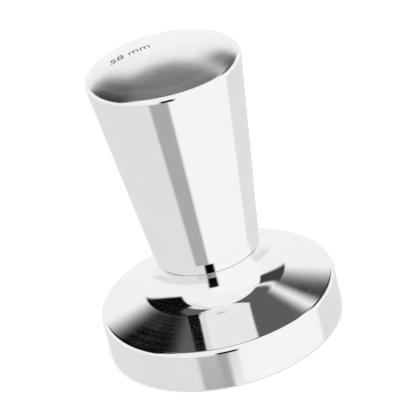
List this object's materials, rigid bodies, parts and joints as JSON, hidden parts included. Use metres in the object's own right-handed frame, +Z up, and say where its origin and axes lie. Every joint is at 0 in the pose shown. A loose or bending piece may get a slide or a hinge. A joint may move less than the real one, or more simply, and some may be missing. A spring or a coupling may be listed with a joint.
{
  "type": "espresso tamper",
  "caption": "Espresso tamper: flat round piston with a conical top and hollow neck, under a tapered, domed, polished metal handle that screws onto it.",
  "frame": {"origin": "centre of the flat tamping face, which is also the bottom of the tamper as it stands", "axes": "+Z up the handle, along the axis that every piece is turned about"},
  "size_m": [0.058, 0.058, 0.0766],
  "materials": {
    "piston_steel": "mirror-polished stainless steel with a finely turned tamping face",
    "collar_steel": "mirror-polished stainless steel",
    "handle_steel": "mirror-polished stainless steel with a fine lengthwise polish and an etched size on the dome",
    "stud_steel": "machined steel thread",
    "seal_rubber": "black nitrile rubber, satin"
  },
  "bodies": {
    "piston": {"tamper_base": "piston_steel", "threaded_stud": "stud_steel"},
    "collar": {"collar_ring": "collar_steel"},
    "grip": {"handle": "handle_steel", "seal_ring": "seal_rubber"}
  },
  "joints": [
    {"name": "handle_lift", "type": "slide", "parent": "piston", "child": "collar", "axis": [0, 0, 1], "range_m": [0, 0.015]},
    {"name": "handle_turn", "type": "hinge", "parent": "collar", "child": "grip", "pos_m": [0, 0, 0.0247], "axis": [0, 0, 1], "range_deg": [0, 4320]}
  ],
  "couplings": [
    {"joint": "handle_turn", "follows": "handle_lift", "rad_per_m": 5026.5}
  ]
}
